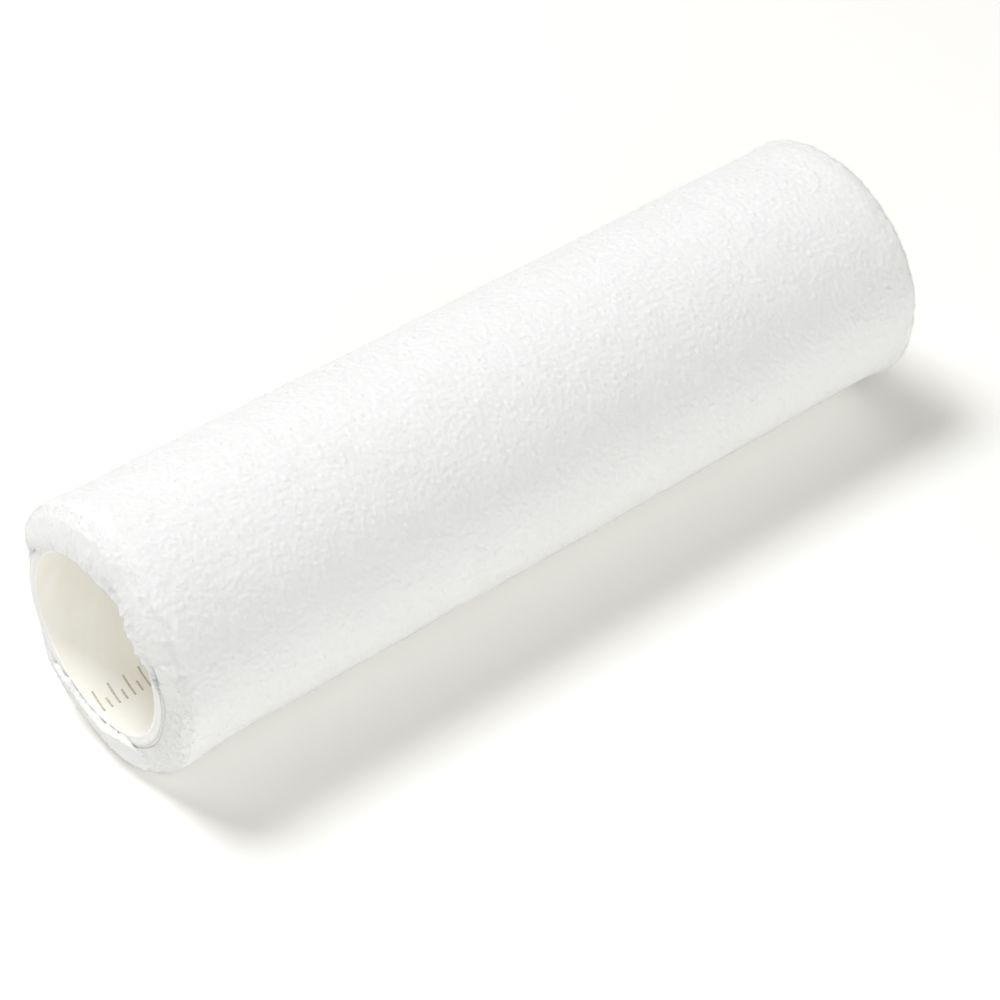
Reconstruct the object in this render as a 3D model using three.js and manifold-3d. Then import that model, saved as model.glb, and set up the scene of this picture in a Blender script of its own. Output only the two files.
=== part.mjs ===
// A nine inch paint roller cover: a two-ply wound core, its two bond films, the knitted backing and the pile.
// Every layer is a ring round the bore axis, Y. The origin is at the middle of the bore, and +Z is up.
import * as THREE from 'three';
import Module from 'manifold-3d';
import { mergeVertices } from 'three/addons/utils/BufferGeometryUtils.js';

const wasm = await Module();
wasm.setup();

// Driving dimensions, in millimetres.
const CORE_LENGTH = 228.6;      // the nine inch size
const BORE_DIAMETER = 45;       // slides over a 1 3/4 inch cage
const COVER_DIAMETER = 65.6;    // over the pile
const PLY_THICKNESS = 0.85;
const BOND_THICKNESS = 0.2;
const BACKING_THICKNESS = 0.8;
const LAYER_GAP = 0.05;         // between one layer and the next

// The strips are all wound at one pitch, each seam a third of a turn on from the one below it.
const WINDING_PITCH = 84;
const SEAM_WIDTH = 0.3;
const INNER_SEAM_TURN = 0;
const OUTER_SEAM_TURN = 1 / 3;
const BACKING_SEAM_TURN = 2 / 3;

// How far each layer stops short of the core's cut ends.
const FILM_SETBACK = 0.3;
const BACKING_SETBACK = 0.3;
const PILE_SETBACK = 0.4;

// The pile is trimmed to a round shoulder at both ends, and more squarely at the far one.
const NEAR_SHOULDER = { along: 6, out: 5.2 };
const FAR_SHOULDER = { along: 3.2, out: 6.3 };
const SHOULDER_STEPS = 6;

// All rings share these flat sides, and one side faces straight down, so the cover doesn't rock.
const SIDES = 48;
const SIDE_ANGLE = (2 * Math.PI) / SIDES;
const FIRST_ANGLE = SIDE_ANGLE / 2;
const CUTTER_MARGIN = 1;        // a seam cutter runs this far past the strip it cuts

const IVORY = { color: 0xe9e6d8, roughness: 0.45, metalness: 0 };
const CLEAR_BOND = { color: 0xdedbcd, roughness: 0.35, metalness: 0 };
const GROUND_WHITE = { color: 0xf1f1ee, roughness: 0.95, metalness: 0 };
const PILE_WHITE = { color: 0xf7f7f5, roughness: 1, metalness: 0 };

function toManifold(geometry) {
  const bare = geometry.clone();
  bare.deleteAttribute('normal');
  bare.deleteAttribute('uv');
  const merged = mergeVertices(bare);
  return new wasm.Manifold(new wasm.Mesh({
    numProp: 3,
    vertProperties: new Float32Array(merged.attributes.position.array),
    triVerts: new Uint32Array(merged.index.array),
  }));
}

function toGeometry(manifold) {
  const mesh = manifold.getMesh();
  const geometry = new THREE.BufferGeometry();
  geometry.setAttribute('position', new THREE.BufferAttribute(mesh.vertProperties, 3));
  geometry.setIndex(new THREE.BufferAttribute(mesh.triVerts, 1));
  geometry.computeVertexNormals();
  return geometry;
}

// A closed outline of (radius, y) points, turned round the bore axis.
function turned(outline) {
  return new THREE.LatheGeometry([...outline, outline[0]], SIDES, FIRST_ANGLE);
}

function tube(innerRadius, outerRadius, length) {
  const half = length / 2;
  return turned([
    new THREE.Vector2(innerRadius, -half),
    new THREE.Vector2(outerRadius, -half),
    new THREE.Vector2(outerRadius, half),
    new THREE.Vector2(innerRadius, half),
  ]);
}

// A thin ribbon wrapped round the bore axis: a straight box whose length becomes the helix, whose height
// stands out along the radius, and whose width lies along the bore. It turns by one side at each step.
function seamRibbon(innerRadius, outerRadius, length, startTurn) {
  const low = innerRadius - CUTTER_MARGIN;
  const high = outerRadius + CUTTER_MARGIN;
  const steps = Math.ceil(((length + 2 * CUTTER_MARGIN) / WINDING_PITCH) * SIDES);
  const firstSide = Math.round(startTurn * SIDES);
  const ribbon = new THREE.BoxGeometry(SEAM_WIDTH, high - low, steps, 1, 1, steps);
  const place = ribbon.attributes.position;
  for (let i = 0; i < place.count; i += 1) {
    const step = place.getZ(i) + steps / 2;
    const radius = place.getY(i) + (low + high) / 2;
    const angle = FIRST_ANGLE + (firstSide + step) * SIDE_ANGLE;
    const along = (step - steps / 2) * (WINDING_PITCH / SIDES);
    place.setXYZ(i, radius * Math.sin(angle), along + place.getX(i), radius * Math.cos(angle));
  }
  return ribbon;
}

// A strip wound edge to edge round the core: a tube, slit from end to end along its helical seam.
function woundStrip(innerRadius, thickness, length, startTurn) {
  const outerRadius = innerRadius + thickness;
  const whole = toManifold(tube(innerRadius, outerRadius, length));
  const slit = toManifold(seamRibbon(innerRadius, outerRadius, length, startTurn));
  return toGeometry(whole.subtract(slit));
}

function bondFilm(innerRadius) {
  return tube(innerRadius, innerRadius + BOND_THICKNESS, CORE_LENGTH - 2 * FILM_SETBACK);
}

// A quarter ellipse of (radius, y) points at one end of the pile; y is the middle of the ellipse.
function shoulder(size, y, startAngle) {
  const radius = COVER_DIAMETER / 2 - size.out;
  const arc = new THREE.EllipseCurve(radius, y, size.out, size.along, startAngle, startAngle + Math.PI / 2);
  return arc.getPoints(SHOULDER_STEPS);
}

// The pile's outline: a flat foot ring and a shoulder at each end, out to the full diameter.
function pileRing(innerRadius) {
  const half = CORE_LENGTH / 2 - PILE_SETBACK;
  const nearEnd = shoulder(NEAR_SHOULDER, NEAR_SHOULDER.along - half, -Math.PI / 2);
  const farEnd = shoulder(FAR_SHOULDER, half - FAR_SHOULDER.along, 0);
  return turned([
    new THREE.Vector2(innerRadius, -half),
    ...nearEnd,
    ...farEnd,
    new THREE.Vector2(innerRadius, half),
  ]);
}

function named(name, geometry, finish) {
  const mesh = new THREE.Mesh(geometry, new THREE.MeshStandardMaterial(finish));
  mesh.name = name;
  return mesh;
}

const innerPlyRadius = BORE_DIAMETER / 2;
const plyBondRadius = innerPlyRadius + PLY_THICKNESS + LAYER_GAP;
const outerPlyRadius = plyBondRadius + BOND_THICKNESS + LAYER_GAP;
const coverBondRadius = outerPlyRadius + PLY_THICKNESS + LAYER_GAP;
const backingRadius = coverBondRadius + BOND_THICKNESS + LAYER_GAP;
const pileRadius = backingRadius + BACKING_THICKNESS + LAYER_GAP;

const cover = new THREE.Group();
cover.add(
  named('core_inner_ply', woundStrip(innerPlyRadius, PLY_THICKNESS, CORE_LENGTH, INNER_SEAM_TURN), IVORY),
  named('ply_bond_film', bondFilm(plyBondRadius), CLEAR_BOND),
  named('core_outer_ply', woundStrip(outerPlyRadius, PLY_THICKNESS, CORE_LENGTH, OUTER_SEAM_TURN), IVORY),
  named('cover_bond_film', bondFilm(coverBondRadius), CLEAR_BOND),
  named(
    'cover_backing',
    woundStrip(backingRadius, BACKING_THICKNESS, CORE_LENGTH - 2 * BACKING_SETBACK, BACKING_SEAM_TURN),
    GROUND_WHITE,
  ),
  named('cover_pile', pileRing(pileRadius), PILE_WHITE),
);

export default cover;
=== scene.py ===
"""Looks of the paint roller cover: plush pile, knitted ground, wound plastic core, floor, light and camera."""
import math

import bpy
import numpy as np
from mathutils import Matrix, Vector


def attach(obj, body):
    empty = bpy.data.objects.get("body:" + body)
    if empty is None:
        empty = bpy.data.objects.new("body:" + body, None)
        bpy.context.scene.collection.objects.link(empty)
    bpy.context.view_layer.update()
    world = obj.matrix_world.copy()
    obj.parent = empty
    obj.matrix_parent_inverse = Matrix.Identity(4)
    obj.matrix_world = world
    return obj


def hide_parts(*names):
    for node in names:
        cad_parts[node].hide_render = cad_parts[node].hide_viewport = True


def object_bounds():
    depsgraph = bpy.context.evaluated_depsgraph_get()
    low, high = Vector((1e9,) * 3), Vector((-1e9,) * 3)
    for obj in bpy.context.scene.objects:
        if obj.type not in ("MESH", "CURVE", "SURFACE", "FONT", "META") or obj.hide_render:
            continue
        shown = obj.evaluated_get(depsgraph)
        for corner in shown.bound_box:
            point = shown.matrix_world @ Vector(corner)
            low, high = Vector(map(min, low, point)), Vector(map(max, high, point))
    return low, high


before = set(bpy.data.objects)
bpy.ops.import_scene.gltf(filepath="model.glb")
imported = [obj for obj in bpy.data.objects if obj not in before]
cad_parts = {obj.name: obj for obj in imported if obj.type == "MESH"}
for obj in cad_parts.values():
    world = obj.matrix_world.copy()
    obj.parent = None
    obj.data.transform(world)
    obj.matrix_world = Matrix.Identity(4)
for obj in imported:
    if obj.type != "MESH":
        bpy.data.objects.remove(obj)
cad_low, cad_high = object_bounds()
MM = 0.001
TAU = 2 * math.pi
FLOOR_Z = cad_low[2]


# ---------------------------------------------------------------- the frame's own sizes

def node_points(node):
    """(radius about the bore axis, y) of each vertex of a CAD node."""
    co = np.array([v.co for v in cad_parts[node].data.vertices])
    return np.hypot(co[:, 0], co[:, 2]), co[:, 1]


def ring(node):
    """(inner radius, outer radius, near end, far end) of a CAD node."""
    radius, y = node_points(node)
    return radius.min(), radius.max(), y.min(), y.max()


def shoulders():
    """(along the bore, out from it) of the pile's near and far shoulders, as the CAD solid has them."""
    radius, y = node_points("cover_pile")
    crown = y[radius > radius.max() - 0.01 * MM]
    sizes = []
    for end, start in ((y.min(), crown.min()), (y.max(), crown.max())):
        foot = radius[abs(y - end) < 0.01 * MM].max()
        sizes.append((abs(start - end), radius.max() - foot))
    return sizes


# ---------------------------------------------------------------- camera, light and floor

LENS_MM = 106.8
SENSOR_MM = 36.0
CAMERA_DISTANCE = 0.7086
CAMERA_AZIMUTH, CAMERA_ELEVATION = 49.71, 38.59
LOOK_AZIMUTH, LOOK_ELEVATION = 49.48, 39.87
BORE_LAMPS = 6
BORE_WATTS = 0.0125           # all the bore lamps together, if they were equally bright
MOUTH_LAMP_SHARE = 0.45       # how bright the lamp at the near end is, as a share of the others
ROOM_STRENGTH = 0.083
BACKDROP_STRENGTH = 0.85
FLOOR_HALF = 1.1              # metres from the middle of the floor to its sides
FLOOR_GLOW = 0.12


def direction(azimuth, elevation):
    """Unit vector towards a place seen at this azimuth (0 is along -Y) and elevation, in degrees."""
    a, e = math.radians(azimuth), math.radians(elevation)
    return Vector((math.sin(a) * math.cos(e), -math.cos(a) * math.cos(e), math.sin(e)))


def make_camera():
    data = bpy.data.cameras.new("camera")
    data.lens = LENS_MM
    data.sensor_width = SENSOR_MM
    data.clip_end = 10
    camera = bpy.data.objects.new("camera", data)
    bpy.context.scene.collection.objects.link(camera)
    backward = direction(LOOK_AZIMUTH, LOOK_ELEVATION)
    right = Vector((0, 0, 1)).cross(backward).normalized()
    up = backward.cross(right)
    turn = Matrix((right, up, backward)).transposed().to_4x4()
    place = direction(CAMERA_AZIMUTH, CAMERA_ELEVATION) * CAMERA_DISTANCE
    camera.matrix_world = Matrix.Translation(place) @ turn
    bpy.context.scene.camera = camera


def softbox(name, towards, distance, size, watts):
    """A square area light that faces the origin from a direction."""
    data = bpy.data.lights.new(name, "AREA")
    data.shape = "SQUARE"
    data.size = size
    data.energy = watts
    light = bpy.data.objects.new(name, data)
    bpy.context.scene.collection.objects.link(light)
    towards = Vector(towards).normalized()
    light.location = towards * distance
    light.rotation_euler = towards.to_track_quat("Z", "Y").to_euler()


def bore_lamps():
    """Small round lamps along the bore axis, for the light that a real cover lets through its thin wall."""
    inner, _, near, far = ring("core_inner_ply")
    for i in range(BORE_LAMPS):
        data = bpy.data.lights.new("bore_lamp_%d" % i, "POINT")
        data.shadow_soft_size = inner * 0.4
        data.energy = BORE_WATTS / BORE_LAMPS * (MOUTH_LAMP_SHARE if i == 0 else 1)
        data.specular_factor = 0
        lamp = bpy.data.objects.new(data.name, data)
        bpy.context.scene.collection.objects.link(lamp)
        lamp.location = (0, near + (far - near) * (i + 0.5) / BORE_LAMPS, 0)
        lamp.visible_camera = False


def make_world():
    """A dim white room round the object, seen as a bright backdrop where the floor ends."""
    world = bpy.data.worlds.new("white_room")
    world.use_nodes = True
    nodes, links = world.node_tree.nodes, world.node_tree.links
    room = nodes["Background"]
    room.inputs["Color"].default_value = (1.0, 1.0, 1.0, 1)
    room.inputs["Strength"].default_value = ROOM_STRENGTH
    backdrop = nodes.new("ShaderNodeBackground")
    backdrop.inputs["Color"].default_value = (1.0, 0.995, 0.98, 1)
    backdrop.inputs["Strength"].default_value = BACKDROP_STRENGTH
    seen = nodes.new("ShaderNodeMixShader")
    links.new(nodes.new("ShaderNodeLightPath").outputs["Is Camera Ray"], seen.inputs["Fac"])
    links.new(room.outputs["Background"], seen.inputs[1])
    links.new(backdrop.outputs["Background"], seen.inputs[2])
    links.new(seen.outputs["Shader"], nodes["World Output"].inputs["Surface"])
    bpy.context.scene.world = world


def make_light():
    """The studio's softboxes: direction, distance and size in metres, watts."""
    softbox("key", (-0.41, -0.20, 1.0), 1.8, 0.67, 24.3)
    softbox("front", direction(58, 35), 1.3, 0.9, 6.5)
    softbox("side", direction(125, 15), 1.3, 0.7, 3.9)
    softbox("left", direction(-90, 35), 1.4, 0.8, 3.0)
    softbox("near_end", direction(-20, 25), 1.4, 0.7, 1.7)
    bore_lamps()


def make_floor():
    mesh = bpy.data.meshes.new("floor")
    corners = [(x * FLOOR_HALF, y * FLOOR_HALF, 0) for x, y in ((-1, -1), (1, -1), (1, 1), (-1, 1))]
    mesh.from_pydata(corners, [], [(0, 1, 2, 3)])
    floor = bpy.data.objects.new("floor", mesh)
    floor.location.z = FLOOR_Z
    bpy.context.scene.collection.objects.link(floor)
    material, nodes, links, shader = new_material("pale_light_table")
    shader.inputs["Base Color"].default_value = (0.87, 0.868, 0.857, 1)
    shader.inputs["Roughness"].default_value = 0.9
    shader.inputs["Specular IOR Level"].default_value = 0.0
    shader.inputs["Emission Color"].default_value = (1.0, 0.97, 0.80, 1)
    shader.inputs["Emission Strength"].default_value = FLOOR_GLOW
    mesh.materials.append(material)


# ---------------------------------------------------------------- mesh helpers

def new_object(name, points, faces, material, smooth=True):
    """A mesh object from points and faces that all have the same number of sides."""
    mesh = bpy.data.meshes.new(name)
    faces = np.asarray(faces, np.int32)
    points = np.asarray(points, np.float32).reshape(-1, 3)
    mesh.vertices.add(len(points))
    mesh.vertices.foreach_set("co", points.ravel())
    sides = faces.shape[1]
    mesh.loops.add(faces.size)
    mesh.loops.foreach_set("vertex_index", faces.ravel())
    mesh.polygons.add(len(faces))
    mesh.polygons.foreach_set("loop_start", np.arange(0, faces.size, sides, dtype=np.int32))
    mesh.update(calc_edges=True)
    mesh.validate()
    mesh.polygons.foreach_set("use_smooth", np.full(len(mesh.polygons), smooth))
    mesh.materials.append(material)
    made = bpy.data.objects.new(name, mesh)
    bpy.context.scene.collection.objects.link(made)
    return made


def add_uv(made, name, u, v):
    """A UV map from one (u, v) for each vertex."""
    mesh = made.data
    vertex = np.empty(len(mesh.loops), np.int32)
    mesh.loops.foreach_get("vertex_index", vertex)
    layer = mesh.uv_layers.new(name=name)
    pairs = np.stack([np.ravel(u)[vertex], np.ravel(v)[vertex]], -1).astype(np.float32)
    layer.data.foreach_set("uv", pairs.ravel())


def torus_faces(rows, columns):
    """Quads of a grid that closes on itself both ways."""
    i, j = np.meshgrid(np.arange(rows), np.arange(columns), indexing="ij")
    here = i * columns + j
    beside = i * columns + (j + 1) % columns
    over = ((i + 1) % rows) * columns
    return np.stack([here, beside, over + (j + 1) % columns, over + j], -1).reshape(-1, 4)


def slab_faces(rows, columns):
    """Quads of a closed slab: an outer grid, then an inner grid, joined round their edges."""
    count = rows * columns
    i, j = np.meshgrid(np.arange(rows - 1), np.arange(columns - 1), indexing="ij")
    a = (i * columns + j).ravel()
    outer = np.stack([a, a + 1, a + columns + 1, a + columns], -1)
    inner = outer[:, ::-1] + count
    edge = np.concatenate([
        np.arange(columns),
        np.arange(2, rows + 1) * columns - 1,
        (rows - 1) * columns + np.arange(columns - 2, -1, -1),
        np.arange(rows - 2, 0, -1) * columns,
    ])
    after = np.roll(edge, -1)
    rim = np.stack([edge, edge + count, after + count, after], -1)
    return np.concatenate([outer, inner, rim])


def unit(vectors):
    return vectors / np.linalg.norm(vectors, axis=-1, keepdims=True)


def around(radius, angle, y):
    """Points at a radius and angle about the bore axis; angle 0 is straight up and 90 degrees is +X."""
    radius, angle, y = np.broadcast_arrays(radius, angle, y)
    return np.stack([radius * np.sin(angle), y, radius * np.cos(angle)], -1)


def noise(u, v, cells_u, cells_v, seed):
    """Smooth noise from -1 to 1 over u (0 to 1, which wraps) and v (0 to 1)."""
    values = np.random.default_rng(seed).uniform(-1, 1, (cells_v + 3, cells_u))
    x, y = u * cells_u, v * cells_v
    x0, y0 = np.floor(x).astype(int), np.clip(np.floor(y).astype(int), 0, cells_v)
    fx, fy = x - x0, y - y0
    fx, fy = fx * fx * (3 - 2 * fx), fy * fy * (3 - 2 * fy)
    a, b = x0 % cells_u, (x0 + 1) % cells_u
    low = values[y0, a] * (1 - fx) + values[y0, b] * fx
    high = values[y0 + 1, a] * (1 - fx) + values[y0 + 1, b] * fx
    return low * (1 - fy) + high * fy


def part_of_cover(piece, node):
    """The piece rides on the cover's one body and stands for a CAD node, which it hides."""
    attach(piece, "root")
    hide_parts(node)


# ---------------------------------------------------------------- materials

def new_material(name):
    material = bpy.data.materials.new(name)
    material.use_nodes = True
    nodes, links = material.node_tree.nodes, material.node_tree.links
    return material, nodes, links, nodes["Principled BSDF"]


def noise_node(nodes, links, vector, scale, detail, roughness=0.6):
    node = nodes.new("ShaderNodeTexNoise")
    node.inputs["Scale"].default_value = scale
    node.inputs["Detail"].default_value = detail
    node.inputs["Roughness"].default_value = roughness
    links.new(vector, node.inputs["Vector"])
    return node.outputs["Fac"]


def blend_values(nodes, links, first, second, share):
    """Two values mixed, with this share of the second."""
    node = nodes.new("ShaderNodeMix")
    node.inputs["Factor"].default_value = share
    links.new(first, node.inputs["A"])
    links.new(second, node.inputs["B"])
    return node.outputs["Result"]


def ramp(nodes, links, value, stops):
    """A colour ramp of (position, colour) stops."""
    node = nodes.new("ShaderNodeValToRGB")
    points = node.color_ramp.elements
    while len(points) < len(stops):
        points.new(0.5)
    for point, (position, colour) in zip(points, stops):
        point.position = position
        point.color = (*colour, 1)
    links.new(value, node.inputs["Fac"])
    return node.outputs["Color"]


def spread(nodes, links, value, low, high):
    """A value from 0 to 1, stretched to run from low to high."""
    node = nodes.new("ShaderNodeMapRange")
    node.inputs["To Min"].default_value = low
    node.inputs["To Max"].default_value = high
    links.new(value, node.inputs["Value"])
    return node.outputs["Result"]


def bump(nodes, links, height, depth):
    node = nodes.new("ShaderNodeBump")
    node.inputs["Distance"].default_value = depth
    links.new(height, node.inputs["Height"])
    return node.outputs["Normal"]


def pile_material(name, scatter_share):
    """White polyester plush: every tuft a little brighter or duller than the next, with a fine fibre grain."""
    material, nodes, links, shader = new_material(name)
    place = nodes.new("ShaderNodeTexCoord").outputs["Object"]
    by_tuft = noise_node(nodes, links, place, 700, 2)
    patches = noise_node(nodes, links, place, 70, 2)
    tone = ramp(nodes, links, blend_values(nodes, links, by_tuft, patches, 0.4), [
        (0.30, (0.843, 0.843, 0.836)), (0.50, (0.86, 0.86, 0.855)), (0.72, (0.876, 0.876, 0.875)),
    ])
    links.new(tone, shader.inputs["Base Color"])
    grain = noise_node(nodes, links, place, 3600, 2, 0.7)
    links.new(spread(nodes, links, grain, 0.85, 1.0), shader.inputs["Roughness"])
    links.new(bump(nodes, links, grain, 0.02 * MM), shader.inputs["Normal"])
    shader.inputs["Specular IOR Level"].default_value = 0.1
    shader.inputs["Sheen Weight"].default_value = 0.2
    shader.inputs["Sheen Roughness"].default_value = 0.6
    shader.inputs["Subsurface Weight"].default_value = scatter_share
    shader.inputs["Subsurface Radius"].default_value = (1.0, 0.97, 0.92)
    shader.inputs["Subsurface Scale"].default_value = 0.9 * MM
    return material


def knit_material():
    """White knitted ground: ribs of yarn along the strip, with a fine twist."""
    material, nodes, links, shader = new_material("knitted_ground")
    strip = nodes.new("ShaderNodeUVMap")
    strip.uv_map = "winding"
    ribs = nodes.new("ShaderNodeTexWave")
    ribs.bands_direction = "Y"
    ribs.inputs["Scale"].default_value = 260
    ribs.inputs["Distortion"].default_value = 1.5
    links.new(strip.outputs["UV"], ribs.inputs["Vector"])
    place = nodes.new("ShaderNodeTexCoord").outputs["Object"]
    twist = noise_node(nodes, links, place, 2600, 3, 0.7)
    weave = blend_values(nodes, links, ribs.outputs["Fac"], twist, 0.5)
    tone = ramp(nodes, links, weave, [(0.2, (0.84, 0.835, 0.81)), (0.8, (0.91, 0.905, 0.885))])
    links.new(tone, shader.inputs["Base Color"])
    links.new(spread(nodes, links, twist, 0.8, 1.0), shader.inputs["Roughness"])
    links.new(bump(nodes, links, weave, 0.06 * MM), shader.inputs["Normal"])
    shader.inputs["Specular IOR Level"].default_value = 0.1
    shader.inputs["Subsurface Weight"].default_value = 0.7
    shader.inputs["Subsurface Radius"].default_value = (1.0, 0.97, 0.92)
    shader.inputs["Subsurface Scale"].default_value = 0.9 * MM
    return material


def end_glow_mask(nodes, links, place):
    """1 on the core's two cut ends, and 0 a little way in from them: the mask of the painted light that
    brightens the ends, in place of the light a thin translucent wall lets through.
    """
    split = nodes.new("ShaderNodeSeparateXYZ")
    links.new(place, split.inputs["Vector"])
    size = nodes.new("ShaderNodeMath")
    size.operation = "ABSOLUTE"
    links.new(split.outputs["Y"], size.inputs[0])
    rise = nodes.new("ShaderNodeMapRange")
    end = ring("core_inner_ply")[3]
    rise.inputs["From Min"].default_value = end - 0.15 * MM
    rise.inputs["From Max"].default_value = end - 0.05 * MM
    links.new(size.outputs["Value"], rise.inputs["Value"])
    return rise.outputs["Result"]


def core_material():
    """Ivory polypropylene: streaks along the winding, cloudy patches, a satin skin, and cut ends painted paler
    as painted light, in place of the light that the thin wall lets through.
    """
    material, nodes, links, shader = new_material("ivory_plastic")
    winding = nodes.new("ShaderNodeUVMap")
    winding.uv_map = "winding"
    stretch = nodes.new("ShaderNodeMapping")
    stretch.inputs["Scale"].default_value = (6, 160, 1)
    links.new(winding.outputs["UV"], stretch.inputs["Vector"])
    streaks = noise_node(nodes, links, stretch.outputs["Vector"], 1.0, 4)
    place = nodes.new("ShaderNodeTexCoord").outputs["Object"]
    clouds = noise_node(nodes, links, place, 120, 3)
    tone = ramp(nodes, links, blend_values(nodes, links, streaks, clouds, 0.5), [
        (0.28, (0.87, 0.85, 0.785)), (0.50, (0.91, 0.90, 0.855)), (0.74, (0.935, 0.93, 0.895)),
    ])
    # Painted light: the cut ends are painted a paler cream, for the glow of light let through the thin wall.
    painted_end_glow = nodes.new("ShaderNodeMix")
    painted_end_glow.data_type = "RGBA"
    painted_end_glow.inputs["B"].default_value = (0.97, 0.962, 0.93, 1)
    links.new(end_glow_mask(nodes, links, place), painted_end_glow.inputs["Factor"])
    links.new(tone, painted_end_glow.inputs["A"])
    links.new(painted_end_glow.outputs["Result"], shader.inputs["Base Color"])
    scuffs = noise_node(nodes, links, place, 1500, 3, 0.7)
    links.new(spread(nodes, links, scuffs, 0.34, 0.58), shader.inputs["Roughness"])
    links.new(bump(nodes, links, streaks, 0.03 * MM), shader.inputs["Normal"])
    shader.inputs["Specular IOR Level"].default_value = 0.35
    shader.inputs["Subsurface Weight"].default_value = 0.3
    shader.inputs["Subsurface Radius"].default_value = (1.0, 0.92, 0.8)
    shader.inputs["Subsurface Scale"].default_value = 0.6 * MM
    return material


def ink_material():
    """Thin brown-grey printing ink, worn and patchy."""
    material, nodes, links, shader = new_material("worn_ink")
    place = nodes.new("ShaderNodeTexCoord").outputs["Object"]
    wear = noise_node(nodes, links, place, 1800, 4, 0.7)
    tone = ramp(nodes, links, wear, [(0.35, (0.45, 0.40, 0.32)), (0.66, (0.74, 0.70, 0.60))])
    links.new(tone, shader.inputs["Base Color"])
    links.new(spread(nodes, links, wear, 0.45, 0.7), shader.inputs["Roughness"])
    return material


# ---------------------------------------------------------------- pile

GRID = 0.34 * MM
FINE_ROWS = 7 * MM            # the near end's part of the outline that has rows twice as close
TUFT_ALONG, TUFT_AROUND = 1.15 * MM, 1.2 * MM           # spacing
TUFT_HALF_LENGTH, TUFT_HALF_WIDTH = 0.60 * MM, 0.50 * MM
TUFT_HEIGHT = 0.24 * MM
TUFT_LEAN = 0.12 * MM
# A tuft is a Gaussian hill of exponent 1.1, and they are 0.675 of TUFT_HEIGHT tall on average.
MEAN_HEIGHT = 0.675 * math.pi / 1.1 * TUFT_HALF_LENGTH * TUFT_HALF_WIDTH / (TUFT_ALONG * TUFT_AROUND)
COMBED = 4 * MM               # the end tufts, over this length of the outline, lie along the bore
FOOT_WALL = 1.0 * MM          # how much of the outline lies on the ring's own inner wall at each end
LIP_CLEARANCE = 0.04 * MM     # between the core's cut end and the pile that turns in over it
LIP_STEEPNESS = 0.3           # how thick the turned-in pile is for each unit that it reaches in
LIP_EDGE, LIP_END = 1.3 * MM, 5.5 * MM      # along the outline from the foot: its tip, and where it ends
LIP_RISE = 1.1 * MM           # the length past its tip over which the turned-in pile gets its thickness
CUT_BACK = 3.3 * MM           # how much further back the near end is trimmed where it is trimmed most
TRIM_FADE = 20 * MM           # the length of the outline over which that fades away
NAP_ROOM = 0.55 * MM          # how far the pile stays inside the CAD ring, to leave room for its fibres
NEAR_FADE = 6 * MM, 22 * MM   # from the near foot, where the near end's own fullness fades away
FAR_FADE = 14 * MM, 6 * MM    # from the far foot, where the far end's begins and where it is complete
NEAR_FULL = 1.4 * MM          # how much fuller the near end is where it leans on the floor
FAR_FULL = 1.2 * MM           # the same at the far end
FAR_DROOP = 1.8 * MM          # how much lower the far end's shoulder is on its upper side


def swell(angle, middle, half_width, flat=1.0):
    """1 near the middle angle, falling smoothly to 0 at half_width on both sides, all in degrees."""
    away = abs((angle - math.radians(middle) + math.pi) % TAU - math.pi)
    hill = 0.5 + 0.5 * np.cos(np.clip(away / math.radians(half_width), 0, 1) * math.pi)
    return np.clip(hill * flat, 0, 1)


def step_up(length, start, end):
    """0 up to the start length, 1 from the end length, and smooth between them."""
    t = np.clip((length - start) / (end - start), 0, 1)
    return t * t * (3 - 2 * t)


def pile_outline():
    """The pile's outline from the near foot to the far foot: length so far, radius and y."""
    inner, outer, near, far = ring("cover_pile")
    (near_along, near_out), (far_along, far_out) = shoulders()
    turn = np.linspace(0, math.pi / 2, 60)
    radius = np.concatenate([
        [inner, inner], outer - near_out + near_out * np.sin(turn),
        outer - far_out + far_out * np.cos(turn), [inner, inner],
    ])
    y = np.concatenate([
        [near + FOOT_WALL, near], near + near_along - near_along * np.cos(turn),
        far - far_along + far_along * np.sin(turn), [far, far - FOOT_WALL],
    ])
    return np.concatenate([[0], np.cumsum(np.hypot(np.diff(radius), np.diff(y)))]), radius, y


def near_lip(angle):
    """How far the near end's pile turns in past its own foot, over the core's cut end and the bore."""
    return MM * (
        2.9 * swell(angle, 8, 95, 1.5) + 2.4 * swell(angle, 62, 30) + 3.0 * swell(angle, 187, 46, 3)
    )


def near_trim(angle):
    """How much further back than the CAD ring the near end is trimmed; less than 0 is further forward."""
    turn = angle / TAU
    back = CUT_BACK * swell(angle, 266, 40, 1.4) + 0.35 * MM * noise(turn, 0 * turn, 17, 1, 8)
    ahead = 0.9 * swell(angle, 175, 50) + 0.5 * swell(angle, 219, 16) + 0.25 * swell(angle, 304, 16)
    return back - MM * ahead


def settled(s, angle, total):
    """How far the pile stands in from the CAD ring: its fibres' room, and the uneven fullness of both ends."""
    near_end = 1 - step_up(s, NEAR_FADE[0], NEAR_FADE[1])
    far_end = step_up(s, total - FAR_FADE[0], total - FAR_FADE[1])
    room = NAP_ROOM * (1 - swell(angle, 180, 38, 1.4)) * (1 - near_end) * (1 - far_end)
    far_side = FAR_DROOP * swell(angle, 20, 70, 1.3) - FAR_FULL * swell(angle, 120, 45)
    return room - NEAR_FULL * swell(angle, 155, 45) * near_end + far_side * far_end


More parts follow.
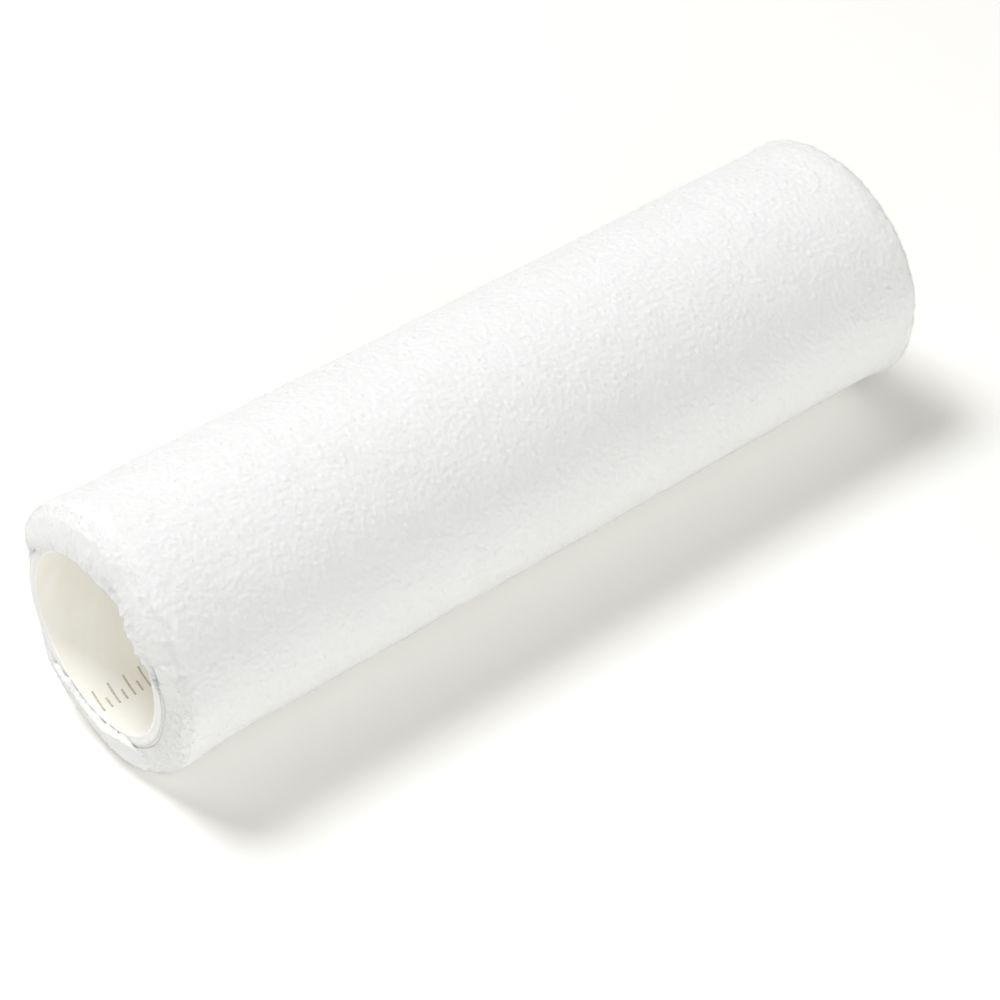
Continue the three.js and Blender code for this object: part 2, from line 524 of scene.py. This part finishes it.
def smooth_pile(s, angle):
    """Points of the pile without its tufts, at lengths s along the outline and angles about the bore."""
    line, line_r, line_y = pile_outline()
    r, y = np.interp(s, line, line_r), np.interp(s, line, line_y)
    foot = ring("cover_pile")[0]
    past = s - FOOT_WALL
    turn = angle / TAU
    ragged = 1 + 0.14 * noise(turn, 0 * turn, 34, 1, 5) + 0.14 * noise(turn, 0 * turn, 110, 1, 6)
    reach = ragged * near_lip(angle)
    share = np.clip(reach / (1.2 * MM), 0, 1)
    hold = step_up(past, 0, LIP_EDGE) * (1 - step_up(past, 1.2 * LIP_EDGE, LIP_END))
    r = r + share * hold * (foot - reach - r)
    over_end = ring("cover_pile")[2] - ring("core_inner_ply")[2] + LIP_CLEARANCE
    past_tip = step_up(past, LIP_EDGE, LIP_EDGE + LIP_RISE)
    rise = over_end * np.clip(past / (0.3 * MM), 0, 1) + LIP_STEEPNESS * reach * past_tip
    y = y - share * rise * (1 - step_up(past, 1.7 * LIP_EDGE, 1.2 * LIP_END))
    height = np.clip((r - foot) / (line_r.max() - foot), 0, 1)
    r = r - settled(s, angle, line[-1]) * height
    trim = near_trim(angle) * (1 - share * (1 - past_tip)) * (1 - step_up(s, 0, TRIM_FADE))
    return around(r, angle, y + trim)


def pile_frame(s, angle):
    """Points of the smooth pile, and its unit vectors outward, along the outline and around the bore."""
    step = 0.3 * MM
    turn = step / ring("cover_pile")[1]
    along = unit(smooth_pile(s + step, angle) - smooth_pile(s - step, angle))
    aside = unit(smooth_pile(s, angle + turn) - smooth_pile(s, angle - turn))
    return smooth_pile(s, angle), unit(np.cross(aside, along)), along, aside


def tufts(s, angle, total, reach):
    """Height (0 to 1) of the tufts at each place, and which way the tuft there leans (along, around)."""
    rows, columns = int(total / TUFT_ALONG), int(TAU * reach / TUFT_AROUND)
    draw = np.random.default_rng(7)
    shape = (rows + 4, columns)
    shift_s, shift_a = draw.uniform(-0.4, 0.4, shape), draw.uniform(-0.4, 0.4, shape)
    tall = draw.uniform(0.35, 1.0, shape)
    slant = draw.normal(0.25, 0.6, shape)
    from_end = np.minimum(np.arange(rows + 4), rows + 3 - np.arange(rows + 4)) * TUFT_ALONG
    slant += (math.pi / 2) * np.clip(1.5 - from_end / COMBED, 0, 1)[:, None]
    lean_s, lean_a = draw.normal(0, 0.5, shape), draw.normal(0, 0.5, shape)
    u, v = s / TUFT_ALONG, angle * columns / TAU
    cell_s, cell_a = np.floor(u).astype(int), np.floor(v).astype(int)
    height, along, side = np.zeros(u.shape), np.zeros(u.shape), np.zeros(u.shape)
    for i in (-2, -1, 0, 1, 2):
        for j in (-1, 0, 1):
            row, column = np.clip(cell_s + i + 1, 0, rows + 3), (cell_a + j) % columns
            ds = (u - (cell_s + i + 0.5 + shift_s[row, column])) * TUFT_ALONG
            da = (v - (cell_a + j + 0.5 + shift_a[row, column])) * TUFT_AROUND
            turn = slant[row, column]
            long = da * np.cos(turn) + ds * np.sin(turn)
            wide = -da * np.sin(turn) + ds * np.cos(turn)
            away = (long / TUFT_HALF_LENGTH) ** 2 + (wide / TUFT_HALF_WIDTH) ** 2
            dome = np.exp(-1.1 * away) * tall[row, column]
            height += dome
            along += dome * lean_s[row, column]
            side += dome * lean_a[row, column]
    return height, along, side


def pile_surface(s, angle):
    """The tufted surface at lengths s along the outline: points, outward normals and the tufts' lean."""
    total, reach = pile_outline()[0][-1], ring("cover_pile")[1]
    drawn_out = 0.8 * near_lip(angle) * step_up(s - FOOT_WALL, LIP_EDGE, LIP_END)
    height, lean_s, lean_a = tufts(s + drawn_out, angle, total + drawn_out.max(), reach)
    u, v = angle / TAU, s / total
    relief = TUFT_HEIGHT * (height - MEAN_HEIGHT)
    relief += 0.06 * MM * noise(u, v, 110, 125, 1) + 0.10 * MM * noise(u, v, 40, 46, 2)
    from_end = np.minimum(s, total - s)
    relief += 0.16 * MM * noise(u, v, 95, 110, 3) * (1 - step_up(from_end, 1.5 * LIP_END, 3 * LIP_END))
    edge = np.clip((from_end - FOOT_WALL) / (1.2 * MM), 0, 1)
    point, outward, along, aside = pile_frame(s, angle)
    lean = along * lean_s[..., None] + aside * lean_a[..., None]
    moved = point + edge[..., None] * (outward * relief[..., None] + TUFT_LEAN * lean)
    return moved, outward, lean


def make_pile(material):
    total, reach = pile_outline()[0][-1], ring("cover_pile")[1]
    fine = np.arange(0, FINE_ROWS, GRID / 2)
    lengths = np.concatenate([fine, np.linspace(FINE_ROWS, total, int((total - FINE_ROWS) / GRID))])
    columns = int(TAU * reach / GRID)
    angle, s = np.meshgrid(np.linspace(0, TAU, columns, endpoint=False), lengths)
    points = pile_surface(s, angle)[0]
    points[..., 2] = np.maximum(points[..., 2], FLOOR_Z)
    pile = new_object("pile_fabric", points, torus_faces(len(lengths), columns), material)
    part_of_cover(pile, "cover_pile")


# ---------------------------------------------------------------- fibres

NAP_PIECES = 5
NAP_LENGTH, NAP_WIDTH = (0.25, 0.44), (0.036, 0.056)        # shortest and longest, in millimetres
WISP_LENGTH, WISP_WIDTH = (0.6, 1.3), (0.06, 0.10)

def fibre_mesh(name, centres, widths, faces, material):
    """Three-sided fibres: rings of three corners round all centres but the last, which is the tip."""
    side = unit(np.cross(centres[1] - centres[0], np.array([0.31, 0.17, 0.93])))
    across = unit(np.cross(centres[1] - centres[0], side))
    corners = []
    for centre, width in zip(centres[:-1], widths):
        for turn in (0, TAU / 3, 2 * TAU / 3):
            corners.append(centre + (side * math.cos(turn) + across * math.sin(turn)) * width[:, None] / 2)
    points = np.stack([*corners, centres[-1]], 1)
    points[..., 2] = np.maximum(points[..., 2], FLOOR_Z)
    count, each = points.shape[:2]
    faces = (np.array(faces)[None] + np.arange(count)[:, None, None] * each).reshape(-1, 3)
    fibres = new_object(name, points, faces, material)
    part_of_cover(fibres, "cover_pile")


SPIKE = [(0, 2, 1), (0, 1, 3), (1, 2, 3), (2, 0, 3)]
BENT = [
    (0, 2, 1), (0, 1, 4), (0, 4, 3), (1, 2, 5), (1, 5, 4),
    (2, 0, 3), (2, 3, 5), (3, 4, 6), (4, 5, 6), (5, 3, 6),
]


def scatter(draw, start, end, count):
    """Random places on the pile, from start to end as shares of its outline, with normals and lean."""
    total = pile_outline()[0][-1]
    s = FOOT_WALL + draw.uniform(start, end, count) * (total - 2 * FOOT_WALL)
    return pile_surface(s, draw.uniform(0, TAU, count))


def nap(name, start, end, count, seed, material):
    """The short straight fibres that cover the tufts and lean with them."""
    draw = np.random.default_rng(seed)
    point, outward, lean = scatter(draw, start, end, count)
    way = unit(outward + 0.5 * lean + draw.normal(0, 0.28, (count, 3)))
    length = draw.uniform(*NAP_LENGTH, count)[:, None] * MM
    root = point - outward * 0.12 * MM
    fibre_mesh(name, [root, root + way * length], [draw.uniform(*NAP_WIDTH, count) * MM], SPIKE, material)


def wisps(name, start, end, count, seed, material):
    """Longer stray fibres that bend over."""
    draw = np.random.default_rng(seed)
    point, outward, lean = scatter(draw, start, end, count)
    way = unit(outward + 0.5 * lean + draw.normal(0, 0.45, (count, 3)))
    bend = unit(way + draw.normal(0, 0.8, (count, 3)))
    length = draw.uniform(*WISP_LENGTH, count)[:, None] * MM
    width = draw.uniform(*WISP_WIDTH, count) * MM
    root = point - outward * 0.2 * MM
    middle = root + way * length * 0.55
    fibre_mesh(name, [root, middle, middle + bend * length * 0.45], [width, 0.75 * width], BENT, material)


def make_fibres(material):
    """All the pile's fibres, in bands along the outline, and denser round both rims."""
    for i in range(NAP_PIECES):
        nap("pile_nap_%d" % (i + 1), i / NAP_PIECES, (i + 1) / NAP_PIECES, 49000, 31 + i, material)
    nap("pile_near_rim_nap", 0, 0.03, 12000, 45, material)
    nap("pile_far_rim_nap", 0.97, 1, 12000, 46, material)
    wisps("pile_wisps", 0, 1, 12000, 51, material)
    wisps("pile_near_rim_wisps", 0, 0.035, 4000, 52, material)
    wisps("pile_far_rim_wisps", 0.965, 1, 4000, 53, material)


# ---------------------------------------------------------------- wound core strips

WINDING_PITCH = 84 * MM
SEAM_WIDTH = 0.06 * MM
END_CHAMFER = 0.025 * MM
FIRST_SEAM = math.radians(138.75)     # where the inner ply's seam is at the middle of the bore


def wound_strip(name, node, seam_turn, material):
    """A strip wound edge to edge: a tube slit from end to end along its helical seam, with eased end edges."""
    inner, outer, near, far = ring(node)
    columns = 300
    ends = np.array([0, 0.5, 1.0]) * END_CHAMFER
    ease = np.array([1.0, 0.29, 0.0])
    middle = np.linspace(near + 2 * END_CHAMFER, far - 2 * END_CHAMFER, 320)
    y = np.concatenate([near + ends, middle, (far - ends)[::-1]])[:, None]
    pull = np.concatenate([ease, np.zeros(len(middle)), ease[::-1]])[:, None] * END_CHAMFER
    gap = SEAM_WIDTH / WINDING_PITCH * TAU
    across = np.linspace(gap / 2, TAU - gap / 2, columns)[None, :]
    angle = FIRST_SEAM + seam_turn * TAU + y / WINDING_PITCH * TAU + across
    points = np.concatenate([around(outer - pull, angle, y), around(inner + pull, angle, y)])
    strip = new_object(name, points, slab_faces(len(y), columns), material)
    length_along = (angle - FIRST_SEAM) * outer
    position = across / TAU * WINDING_PITCH + 0 * angle
    add_uv(strip, "winding", np.tile(length_along, (2, 1)), np.tile(position, (2, 1)))
    part_of_cover(strip, node)


def bond_bead(name, node, material):
    """A film of melted plastic between two layers, squeezed out level with the core's cut ends."""
    inner, outer = ring(node)[:2]
    near, far = ring("core_inner_ply")[2:]
    columns, rows = 360, 40
    angle = np.linspace(0, TAU, columns, endpoint=False)[None, :]
    wobble = 0.01 * MM * noise(angle / TAU, 0 * angle, 60, 1, 11)
    y = np.linspace(near + 0.015 * MM, far - 0.015 * MM, rows)[:, None] + 0 * angle
    y[0] += wobble[0]
    y[-1] -= wobble[0]
    spare = 0.045 * MM
    points = np.concatenate([around(inner - spare, angle, y), around(outer + spare, angle, y[::-1])])
    bead = new_object(name, points, torus_faces(len(points), columns), material)
    add_uv(bead, "winding", points[..., 0], points[..., 1])
    part_of_cover(bead, node)


# ---------------------------------------------------------------- print in the bore

TICK_PITCH = 2.1 * MM
TICK_COUNT = 15
TICK_WIDTH = 0.48 * MM
TICK_START, TICK_END = 184, 200         # degrees about the bore
TICK_ROWS = 9
INK_THICKNESS = 0.02 * MM


def ink_ticks(material):
    """A printed row of plain long and short ticks along the bore, in place of the maker's code."""
    wall, near = ring("core_inner_ply")[0], ring("core_inner_ply")[2]
    points, faces = [], []
    for i in range(TICK_COUNT):
        end = TICK_END if i % 2 == 0 else 0.5 * (TICK_START + TICK_END)
        angle = np.radians(np.linspace(TICK_START, end, TICK_ROWS))[:, None]
        middle = near + (i + 0.8) * TICK_PITCH + 0.12 * wall * (angle - math.radians(TICK_START))
        y = middle + np.array([[-0.5, 0.5]]) * TICK_WIDTH
        faces.append(slab_faces(TICK_ROWS, 2) + 4 * TICK_ROWS * i)
        for depth in (1.5, 0.5):
            points.append(around(wall - depth * INK_THICKNESS, angle, y).reshape(-1, 3))
    ticks = new_object("bore_ink_ticks", np.concatenate(points), np.concatenate(faces), material)
    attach(ticks, "root")


make_camera()
make_world()
make_light()
make_floor()
white_pile = pile_material("white_pile", 0.8)
white_fibre = pile_material("white_fibre", 0)
ivory = core_material()
make_pile(white_pile)
make_fibres(white_fibre)
wound_strip("core_inner_wall", "core_inner_ply", 0, ivory)
wound_strip("core_outer_wall", "core_outer_ply", 1 / 3, ivory)
wound_strip("ground_knit", "cover_backing", 2 / 3, knit_material())
bond_bead("ply_bond", "ply_bond_film", ivory)
bond_bead("cover_bond", "cover_bond_film", ivory)
ink_ticks(ink_material())
scene = bpy.context.scene
scene.view_settings.view_transform = "Standard"
scene.cycles.diffuse_bounces = 8
scene.cycles.max_bounces = 12
